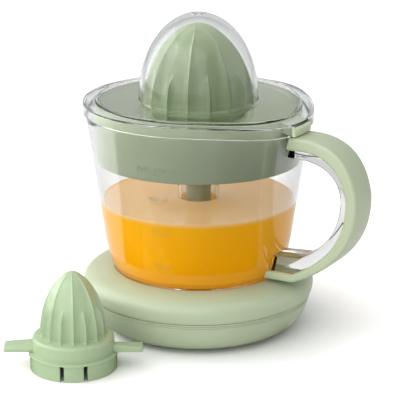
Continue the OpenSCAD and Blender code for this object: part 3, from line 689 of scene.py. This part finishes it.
# %% Dipped rim and pouring lip
dip(jug, lambda r, z: fade(z, 136, 153) if 74 < r < 79 else 0.0)
for v in jug.data.vertices:
    x, y, z = v.co / MM
    r, turn = math.hypot(x, y), math.atan2(y, x) - SPOUT
    turn = (turn + math.pi) % (2 * math.pi) - math.pi
    if r > 60 and z > 118:
        push = 7.0 * math.exp(-(turn / 0.16) ** 2) * fade(z, 120, 154) ** 1.6
        v.co.x += push * x / r * MM
        v.co.y += push * y / r * MM
done(jug, clear_san, "jug", "jug", angle=40)

# %% [markdown]
# The cover of the handle is a green channel clipped round the clear half. It is drawn and extruded
# like the liner, its outer edges get a 2 mm round, and the channel is cut out of its inside. A
# last cut with the jug's own turned form makes its ends sit against the wall.

# %% Handle cover
cover_line = handle_line(0, 70, 52) + handle_line(1, 70, 52)[::-1]
cover = across("handle_cover_channel", cover_line, 13.0)
bevelled(cover, 2.2, 5, 50)
channel = across("cut", handle_line(0.38, 66, 48) + [(48, 56), (66, 130)], 10.6)
boolean(cover, channel, "DIFFERENCE")
jug_form = turned("cut", [(0, 30), (58.7, 30)] + [(r + 0.2, z) for r, z in jug_wall(0)]
                  + [(RIM_R + 1.0, 160), (0, 160)], steps=192)
boolean(cover, jug_form, "DIFFERENCE")
done(cover, sage_abs, "jug", "handle_cover")

# %% [markdown]
# The jug carries a raised scale, moulded in the same clear plastic but matt, so that it can be
# read. Each number is a text object that is extruded and made a mesh. Its vertices are then
# wrapped round the cone of the wall: the x of the text becomes an angle and its y a height.

# %% Volume scale
def wrapped(text, size, z, turn, name):
    nothing_selected()
    bpy.ops.object.text_add()
    label = bpy.context.object
    label.data.body = text
    label.data.size = size * MM
    label.data.extrude = 0.12 * MM
    label.data.bevel_depth = 0.04 * MM
    label.data.align_x = "CENTER"
    bpy.ops.object.convert(target="MESH")
    label = bpy.context.object
    label.name = name
    for v in label.data.vertices:
        x, y, out = v.co / MM
        high = z + y
        wall = KNEE_R + SLOPE * (high - KNEE_Z) if high > KNEE_Z else jug_radius(high)
        angle, r = turn + x / wall, wall + out + 0.1
        v.co = Vector((r * math.cos(angle), r * math.sin(angle), high)) * MM
    return label


def jug_radius(z):
    line = jug_wall(0)
    for (r0, z0), (r1, z1) in zip(line, line[1:]):
        if z0 <= z <= z1:
            return r0 + (r1 - r0) * (z - z0) / (z1 - z0)
    return line[0][0]


front = math.radians(-112)
marks = []
for label, z in (("MAX 1200 ml", 128.5), ("900 ml", 107.5), ("600 ml", 84.5), ("300 ml", 59.5)):
    marks.append(wrapped(label, 5.0, z, front, "mark"))
    marks.append(wrapped("_____", 4.0, z - 0.9, front, "tick"))
scale = joined("volume_scale", marks)
done(scale, frosted_san, "jug")

# %% [markdown]
# ## Strainer bowl
# The bowl stands on the jug's column and fills the jug's mouth. Its wall rises above the rim and
# dips with it. The floor climbs as a cone to the hub, and narrow slots in the floor hold back the
# pips. It is one closed outline, spun, dipped, and slotted with a ring of thin cutters.

# %% Strainer
wall_in, top_in = BOWL_R - 2, WALL_TOP_R - 2
hub_r, hub_bore, deck_z, floor_z = 12.4, 10.45, 143, BOWL_Z + 2
sleeve_in, sleeve_out, stand_z = COLUMN_R + 1.1, COLUMN_R + 3.1, COLUMN_Z + 0.1
bowl_line = soft([
    (WALL_TOP_R, RIM_Z + RISE, 0.6), (top_in, RIM_Z + RISE, 0.6), (top_in, 156), (top_in, 152),
    (wall_in + 0.3, 148), (wall_in + 0.3, 144), (wall_in + 0.2, 140), (wall_in, 128),
    (wall_in, floor_z, 2.0), (62.7, floor_z, 2.0), (46, 133.2), (30, deck_z, 2.0), (20, deck_z),
    (hub_r, deck_z, 0.8), (hub_r, deck_z + 6, 0.4), (hub_bore, deck_z + 6, 0.3),
    (hub_bore, stand_z, 0.2), (sleeve_in, stand_z, 0.3), (sleeve_in, floor_z, 0.3),
    (sleeve_out, floor_z, 0.3), (sleeve_out, deck_z - 2, 0.8), (29, deck_z - 2, 2.0), (45, 131.4),
    (62.2, BOWL_Z, 2.0), (66, BOWL_Z), (BOWL_R, BOWL_Z, 0.9), (BOWL_R, 125), (BOWL_R + 0.2, 140),
    (BOWL_R + 0.3, 144), (BOWL_R + 0.3, 148), (WALL_TOP_R, 152), (WALL_TOP_R, 156)])
strainer = turned("strainer_bowl", bowl_line, steps=192)
dip(strainer, lambda r, z: fade(z, 139, 155) if r > 68 else 0.0)
slot_cut = slab("cut", (33, -0.9, 118), (61.7, 0.9, 145))
boolean(strainer, joined("cut", around(slot_cut, 30, math.radians(6))), "DIFFERENCE")
print("bowl turned and slotted,", len(strainer.data.vertices), "vertices")

# %% [markdown]
# A lug on the wall bridges the rim over the handle and stops the bowl from turning with the cone.
# Its outline is drawn in the handle's plane, extruded to its width, and cut round with a turned
# disc.

# %% Lug over the handle
def over_handle(name, low, high, r0, r1, side, lowest=0.0, parts=8):
    """A block across the handle whose top and bottom follow the rim, but stay above `lowest`."""
    rows = [r0 + (r1 - r0) * i / parts for i in range(parts + 1)]
    rim = [(r, RIM_Z - rim_drop(*hand(r, 0)[:2])) for r in rows]
    outline = [(r, max(z + low, lowest)) for r, z in rim] + [(r, z + high) for r, z in rim[::-1]]
    return across(name, outline, side)


lug = over_handle("lug", 0.1, RISE - 0.4, WALL_TOP_R - 1, LUG_R + 1, LUG_W / 2,
                  RIM_Z - RIM_DIP - 0.3)
boolean(lug, peg("cut", LUG_R, 140, 165, sides=192), "INTERSECT")
bevelled(lug, 1.1, 4, 40)
strainer = joined("strainer_bowl", [strainer, lug])
# The bowl's finish carries painted light for the light lost through the jug's wall
done(strainer, bowl_abs_painted_light, "strainer", "strainer")

# %% [markdown]
# ## Large cone
# The cone that presses the fruit is a pointed dome with hollow panels between its ribs. Eight ribs
# run up to the tip, and eight short ones fill the gaps below. Real ribs are blended into the dome
# by the mould, so here a fine spun dome is pushed in between the rib lines by a smooth rule. A
# thin collar, a skirt and a six-sided stem carry it, and four webs stiffen it inside.

# %% Ribbed dome
def ribbed(obj, radius, foot, height, first, deep, short_deep, split):
    """Sinks the panels between the ribs of a dome. Short ribs end at `split` of its height."""
    obj.data.transform(Matrix.Rotation(first, 4, "Z"))
    for v in obj.data.vertices:
        x, y, z = v.co / MM
        up = (z - foot) / height
        if not 0.0 < up < 1.0:
            continue
        full = radius * (1 - up * up) ** 0.575
        if math.hypot(x, y) < 0.95 * full:
            continue
        turn = math.degrees(math.atan2(y, x) - first) % 45.0
        off = min(turn, 45.0 - turn) / 22.5
        share = 1 - fade(up, split, split + 0.2)
        sink = (1 - share) * deep * (1 - math.exp(-4.5 * off)) * (1 - 0.35 * up)
        sink += share * short_deep * (1 - math.exp(-6 * min(off, 1 - off)))
        sink *= fade(up, 0.0, 0.03)
        v.co.x *= 1 - sink
        v.co.y *= 1 - sink


def hex_stem(radius, low, high, bore_top):
    stem = peg("stem", radius, low, high, sides=6)
    bevelled(stem, 0.5, 2, 50)
    boolean(stem, peg("cut", 3.12, low - 1, bore_top, sides=6), "DIFFERENCE")
    return stem


# %% Large cone
cone_line = dome(CONE_R, CONE_Z, CONE_H, 72, 1.15)[::-1] + soft([
    (CONE_R, CONE_Z, 0.5), (CONE_R, CONE_Z - 2, 0.5), (32.5, CONE_Z - 2, 0.6), (32.5, 150.5, 0.7),
    (30.7, 150.5, 0.7), (30.7, 157.5)], closed=False)[1:] + dome(30.9, CONE_Z, 53.9, 24, 1.1)
large_cone = turned("large_cone", cone_line, steps=384)
ribbed(large_cone, CONE_R, CONE_Z, CONE_H, math.radians(-101), 0.12, 0.12, 0.3)
webs = around(slab("web", (4, -0.9, CONE_Z), (29, 0.9, CONE_Z + 20)), 4)
large_cone = joined("large_cone", [large_cone, hex_stem(STEM_R, 143, 190, 160.5)] + webs)
# The large cone's finish carries painted shade for the shade under the lid's dome
done(large_cone, cone_abs_painted_shade, "large_cone", "large_reamer", angle=50)

# %% [markdown]
# ## Clear lid
# The lid is one thin shell: a tall dome over the cone and a wide flange over the strainer. A skirt
# round its edge stands on the jug's rim, a raised bead gives a grip, and a lip inside keeps it
# centred. The flange dips with the rim, and a notch in the skirt leaves room for the strainer's
# lug. Six small holes in the top let air out.

# %% Lid
DOME_R, DOME_Z, DOME_H, DOME_T = 41.3, 163.0, 59.0, 1.8
lid_top, dome_in = LID_Z + DOME_T, DOME_R - DOME_T
bead, bead_top = BOWL_R + 0.5, lid_top + 1.3
lip, lip_low = WALL_TOP_R - 2.3, LID_Z - 2.5
skirt_in, skirt_low = RIM_R - 0.4, RIM_Z + 0.1
lid_line = dome(DOME_R, DOME_Z, DOME_H, 48)[::-1]
lid_line += bend((DOME_R, DOME_Z), (DOME_R + 0.2, lid_top), (44.5, lid_top), 6)[1:]
lid_line += [(r, lid_top) for r in (48, 52, 56, 60, 64, 67)]
lid_line += soft([
    (bead - 2, lid_top, 0.2), (bead - 1.7, bead_top, 0.6), (bead - 0.1, bead_top, 0.6),
    (bead + 0.2, lid_top, 0.2), (75, lid_top), (LID_R, lid_top, 0.9), (LID_R, skirt_low, 0.4),
    (skirt_in, skirt_low, 0.3), (skirt_in, LID_Z, 0.5), (bead, LID_Z), (lip, LID_Z, 0.1),
    (lip, lip_low, 0.4), (lip - 1.6, lip_low, 0.4), (lip - 1.6, LID_Z, 0.1)], closed=False)
lid_line += [(r, LID_Z) for r in (64, 60, 56, 52, 49, 46)]
lid_line += bend((43.5, LID_Z), (dome_in + 0.2, LID_Z + 0.1), (dome_in, DOME_Z), 6)
lid_line += dome(dome_in, DOME_Z, DOME_H - DOME_T, 48)[1:]
lid = turned("clear_lid", lid_line, steps=192)
dip(lid, lambda r, z: fade(r, 43, 50) if z < DOME_Z + 2 else 0.0)
notch = over_handle("cut", -3, RISE + 0.1, RIM_R - 1.2, LID_R + 3, LUG_W / 2 + 0.5)
boolean(lid, notch, "DIFFERENCE")
vents = joined("cut", around(peg("cut", 0.7, 210, 226, 4, sides=24), 6))
boolean(lid, vents, "DIFFERENCE")
done(lid, lid_san, "lid", "dust_cover", angle=40)

# %% [markdown]
# ## Small cone
# The small cone fits over the large one for limes. It is one spun outline: a slotted skirt, a
# collar with a soft shoulder and a steep ribbed dome. Two flat paddles stand out from the collar,
# and their tops slope to opposite sides, so that they push the pulp as they turn.

# %% Small cone
collar_r, ledge_r, skirt_r, ledge_z, roof_z = 27.2, 29.7, 28.9, 12.2, 21.0
small_line = dome(SMALL_R, SMALL_Z, SMALL_H, 56, 1.15)[::-1] + soft([
    (SMALL_R, SMALL_Z), (collar_r, 23, 2.6), (collar_r, ledge_z, 0.3), (ledge_r, ledge_z, 0.5),
    (ledge_r, ledge_z - 2, 0.5), (skirt_r, ledge_z - 2, 0.2), (skirt_r, 0, 0.5), (27.1, 0, 0.5),
    (27.1, ledge_z - 2, 0.4), (25.4, 11.2, 0.4), (25.4, roof_z, 0.8)], closed=False)[1:]
small_cone = turned("small_cone", small_line + [(0, roof_z)], steps=384)
ribbed(small_cone, SMALL_R, SMALL_Z, SMALL_H, math.radians(-85), 0.15, 0.14, 0.34)
cuts = [slab("cut", (24.9, -1.4, -1), (31, 1.4, 11), math.radians(turn + side * 15.6))
        for turn in (-86, 94) for side in (-1, 1)]
for cut in cuts:
    boolean(small_cone, cut, "DIFFERENCE")
root, tip, half = 24.2, 46.0, 6.5
paddle = plate("paddle", [(root, half, ledge_z), (tip, half, ledge_z), (tip, half, 15.6),
                          (root, half, 17.5)], (0, -2 * half, 0))
slope = slab("cut", (20, -20, 0), (50, 0, 12))
slope.data.transform(Matrix.Translation(Vector((0, 9, 13.4)) * MM)
                     @ Matrix.Rotation(math.radians(-24), 4, "X"))
boolean(paddle, slope, "DIFFERENCE")
bevelled(paddle, 0.8, 3, 20)
stem = hex_stem(STEM_R, 4, roof_z + 0.5, roof_z)
small_cone = joined("small_cone", [small_cone, stem] + around(paddle, 2))
done(moved(small_cone, SPARE), small_cone_abs, "small_cone", "small_reamer", angle=50)

# %% [markdown]
# ## Juice
# The jug is shown part full. The juice is one solid that reaches a hair into the wall, which is
# how a clear vessel is drawn so that no film of air shows between the two. Its edge climbs the
# wall a little, as a liquid does. It rides with the jug.

# %% Juice
into = 0.2
foot = (COLUMN_R - into, 44.0)
juice_line = [foot] + bend((54.0, 43.9), (56.4, 43.9), (57.1, 46.5), 6)
juice_line += [(r + into, z) for r, z in jug_wall(WALL) if 46.5 < z < 85]
edge = KNEE_R - WALL + into + SLOPE * (JUICE_Z - KNEE_Z)
juice_line += [(edge, JUICE_Z + CREEP), (edge - 0.6, JUICE_Z + 0.2), (edge - 2.0, JUICE_Z),
               (COLUMN_R + 1.6, JUICE_Z), (COLUMN_R + 0.4, JUICE_Z + 0.2),
               (COLUMN_R - into, JUICE_Z + CREEP), foot]
juice = turned("orange_juice", juice_line, steps=144)
done(juice, juice_finish, "jug", "orange_juice", angle=40)

# %% [markdown]
# ## Return spring
# Round wire is wound up as a coil between the floor and the collar by a screw modifier. The coil
# rides with the spindle.

# %% Return spring
WIRE_R, COIL_R, TURNS, PRESS = 0.35, 4.85, 6, 3.0
coil_low, coil_high = (corner[2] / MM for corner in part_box("return_spring"))
middle = coil_low + WIRE_R
circle = [math.radians(a) for a in range(0, 361, 30)]
coil = chain("return_coil", [(COIL_R + WIRE_R * math.cos(a), 0, middle + WIRE_R * math.sin(a))
                             for a in circle])
bpy.ops.mesh.remove_doubles(threshold=2e-6)
apply_modifier(coil, "SCREW", axis="Z", iterations=TURNS, steps=48, render_steps=48,
               screw_offset=(coil_high - coil_low - 2 * WIRE_R) / TURNS * MM)
bpy.ops.object.mode_set(mode="EDIT")
bpy.ops.mesh.select_all(action="SELECT")
bpy.ops.mesh.fill_holes(sides=0)
tidy_mesh()
done(coil, ground_steel, "drive_spindle", "return_spring", angle=60)
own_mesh(coil)

# %% [markdown]
# ## Parts inside
# The motor, gears, switch and bushes are shown as the mechanical model has them. They keep their
# shapes, and each material slot of that model gets one of the finishes made above.

# %% Finishes for the parts inside
inside_finish = {
    "gear_plate": nylon, "plate_screws": zinc_steel, "motor_can": zinc_steel,
    "motor_cap": zinc_steel, "motor_screws": zinc_steel, "motor_coil": copper_wire,
    "motor_rotor": lamination, "motor_pinion": acetal, "idler_axle": ground_steel,
    "idler_gear": acetal, "output_gear": acetal, "spindle": ground_steel,
    "thrust_collar": ground_steel, "lower_bush": sintered_bronze, "upper_bush": sintered_bronze,
    "tower_seal": black_rubber, "micro_switch": black_pbt, "switch_plunger": red_button,
    "switch_lever": zinc_steel, "lever_pin": ground_steel, "cone_bush": acetal}
for name, finish in inside_finish.items():
    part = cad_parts[name]
    for slot in part.material_slots:
        slot.material = finish
print(len(inside_finish), "inside parts finished")

# %% [markdown]
# ## Studio
# A white floor fades into a white backdrop, as in a catalogue picture. The floor is a wide sheet
# that glows a little towards the camera, so that it stays white, but not close to the press, where
# its shadow has to show. Reflections see a dark room in front, white to both sides and pale grey
# behind. That keeps the juice rich behind the wall and draws upright bright bands near the sides
# of the jug. The soft light on matt surfaces is stronger from the front and left.

# %% What reflections see
def frontness(tree, direction):
    """The cosine of the level angle between a direction and the middle of the dark front."""
    middle = math.radians(-12)
    level = add_node(tree, "VectorMath", {"operation": "MULTIPLY"}, {0: direction})
    level.inputs[1].default_value = (1, 1, 0)
    unit = add_node(tree, "VectorMath", {"operation": "NORMALIZE"}, {0: level.outputs["Vector"]})
    share = add_node(tree, "VectorMath", {"operation": "DOT_PRODUCT"}, {0: unit.outputs["Vector"]})
    share.inputs[1].default_value = (math.sin(middle), -math.cos(middle), 0)
    return share.outputs["Value"]


DARK_END = math.cos(math.radians(79))
WHITE_END = math.cos(math.radians(128))
BLUR = 0.03


def clear_of(tree, position, centre, low, high):
    """0 within `low` millimetres of a centre on the floor and 1 beyond `high`."""
    gap = add_node(tree, "VectorMath", {"operation": "DISTANCE"}, {0: position})
    gap.inputs[1].default_value = Vector(centre) * MM
    return add_node(tree, "MapRange", {"From Min": low * MM, "From Max": high * MM},
                    {"Value": gap.outputs["Value"]}).outputs["Result"]


def product(tree, a, b):
    return add_node(tree, "Math", {"operation": "MULTIPLY"}, {0: a, 1: b}).outputs["Value"]


# %% Floor
floor_finish, tree = new_finish("white_paper_sweep")
spot = add_node(tree, "NewGeometry").outputs["Position"]
fibre = add_node(tree, "TexNoise", {"Scale": per_mm(3), "Detail": 3.0}, {"Vector": spot})
tone = add_node(tree, "ValToRGB", links={"Fac": fibre.outputs["Fac"]})
tone.color_ramp.elements[0].color = colour("#F6F6F6")
tone.color_ramp.elements[1].color = colour("#FBFBFB")
ray = add_node(tree, "LightPath")
open_floor = product(tree, clear_of(tree, spot, (0, 0, 0), 62, 125),
                     clear_of(tree, spot, SPARE, 28, 55))
seen = product(tree, ray.outputs["Is Camera Ray"], open_floor)
glow = add_node(tree, "Math", {"operation": "MULTIPLY"}, {0: seen})
glow.inputs[1].default_value = 0.3
paper = add_node(tree, "BsdfPrincipled", {"Roughness": 0.8, "Specular IOR Level": 0.1,
                                          "Emission Color": (1, 1, 1, 1)},
                 {"Base Color": tone.outputs["Color"], "Emission Strength": glow.outputs["Value"]})
cloth = add_node(tree, "BsdfDiffuse", {"Color": colour("#303030")})
front = add_node(tree, "MapRange", {"From Min": DARK_END - BLUR, "From Max": DARK_END + BLUR},
                 {"Value": frontness(tree, spot)})
hidden = product(tree, ray.outputs["Is Glossy Ray"], front.outputs["Result"])
sweep = add_node(tree, "MixShader", links={"Fac": hidden})
tree.links.new(paper.outputs["BSDF"], sweep.inputs[1])
tree.links.new(cloth.outputs["BSDF"], sweep.inputs[2])
add_node(tree, "OutputMaterial", links={"Surface": sweep.outputs["Shader"]})
nothing_selected()
bpy.ops.mesh.primitive_plane_add(size=12, location=(0, 3, 0))
floor = bpy.context.object
floor.name = "floor"
bpy.ops.object.transform_apply(location=True, rotation=False, scale=False)
floor.data.materials.append(floor_finish)
print("floor laid")

# %% World
world = bpy.data.worlds.new("white_studio")
bpy.context.scene.world = world
world.use_nodes = True
tree = world.node_tree
tree.nodes.clear()
ray = add_node(tree, "LightPath")
seen = add_node(tree, "Math", {"operation": "MAXIMUM"}, {0: ray.outputs["Is Camera Ray"],
                                                         1: ray.outputs["Is Transmission Ray"]})
room = add_node(tree, "TexCoord").outputs["Generated"]
side = add_node(tree, "VectorMath", {"operation": "DOT_PRODUCT"}, {0: room})
side.inputs[1].default_value = Vector((-0.8, -0.55, 0.2)).normalized()
matt = add_node(tree, "MapRange", {"From Min": -1.0, "To Min": 0.22, "To Max": 0.75},
                {"Value": side.outputs["Value"]})
plain = add_node(tree, "MapRange", {"To Max": 1.0},
                 {"Value": seen.outputs["Value"], "To Min": matt.outputs["Result"]})
share = add_node(tree, "MapRange", {"From Min": -1.0}, {"Value": frontness(tree, room)})
mirrored = add_node(tree, "ValToRGB", links={"Fac": share.outputs["Result"]})
ramp = mirrored.color_ramp
ramp.elements[0].position = (WHITE_END - BLUR + 1) / 2
ramp.elements[1].position = (DARK_END + BLUR + 1) / 2
ramp.elements[0].color = (0.7, 0.7, 0.7, 1)
ramp.elements[1].color = (0.12, 0.12, 0.12, 1)
for limit in (WHITE_END + BLUR, DARK_END - BLUR):
    ramp.elements.new((limit + 1) / 2).color = (0.95, 0.95, 0.95, 1)
strength = add_node(tree, "MapRange",
                    links={"Value": ray.outputs["Is Glossy Ray"],
                           "To Min": plain.outputs["Result"],
                           "To Max": mirrored.outputs["Color"]})
backdrop = add_node(tree, "Background", {"Color": (1, 1, 1, 1)},
                    {"Strength": strength.outputs["Result"]})
add_node(tree, "OutputWorld", links={"Surface": backdrop.outputs["Background"]})
print("world made")


# %% Lights
def panel(name, place, aim, width, height, watts):
    nothing_selected()
    bpy.ops.object.light_add(type="AREA", location=place)
    lamp = bpy.context.object
    lamp.name = name
    lamp.data.shape = "RECTANGLE"
    lamp.data.size, lamp.data.size_y = width, height
    lamp.data.energy = watts
    lamp.rotation_euler = (Vector(aim) - Vector(place)).to_track_quat("-Z", "Y").to_euler()
    return lamp


panel("left_panel", (-1.2, 0.2, 0.7), (0, 0.1, 0.3), 1.7, 1.3, 12)
panel("front_panel", (-0.6, -1.35, 1.0), (0, 0, 0.12), 2.4, 1.8, 15)
panel("top_panel", (-0.3, -0.2, 1.7), (0, 0, 0.1), 3.0, 3.0, 15)
print("lights placed")

# %% [markdown]
# ## Camera
# The camera stands in front of the press and a little above it, looking down by 17 degrees through
# a long lens, so that the sides of the jug stay nearly upright.

# %% Camera
down, away, aim_z = math.radians(17), 1.2, 0.089
nothing_selected()
bpy.ops.object.camera_add(location=(0, -away * math.cos(down), aim_z + away * math.sin(down)),
                          rotation=(math.radians(90) - down, 0, 0))
camera = bpy.context.object
camera.data.sensor_width = 36
camera.data.lens = 154.3
camera.data.shift_x = 0.00375
bpy.context.scene.camera = camera
bpy.context.scene.view_settings.view_transform = "Standard"
print("camera ready")
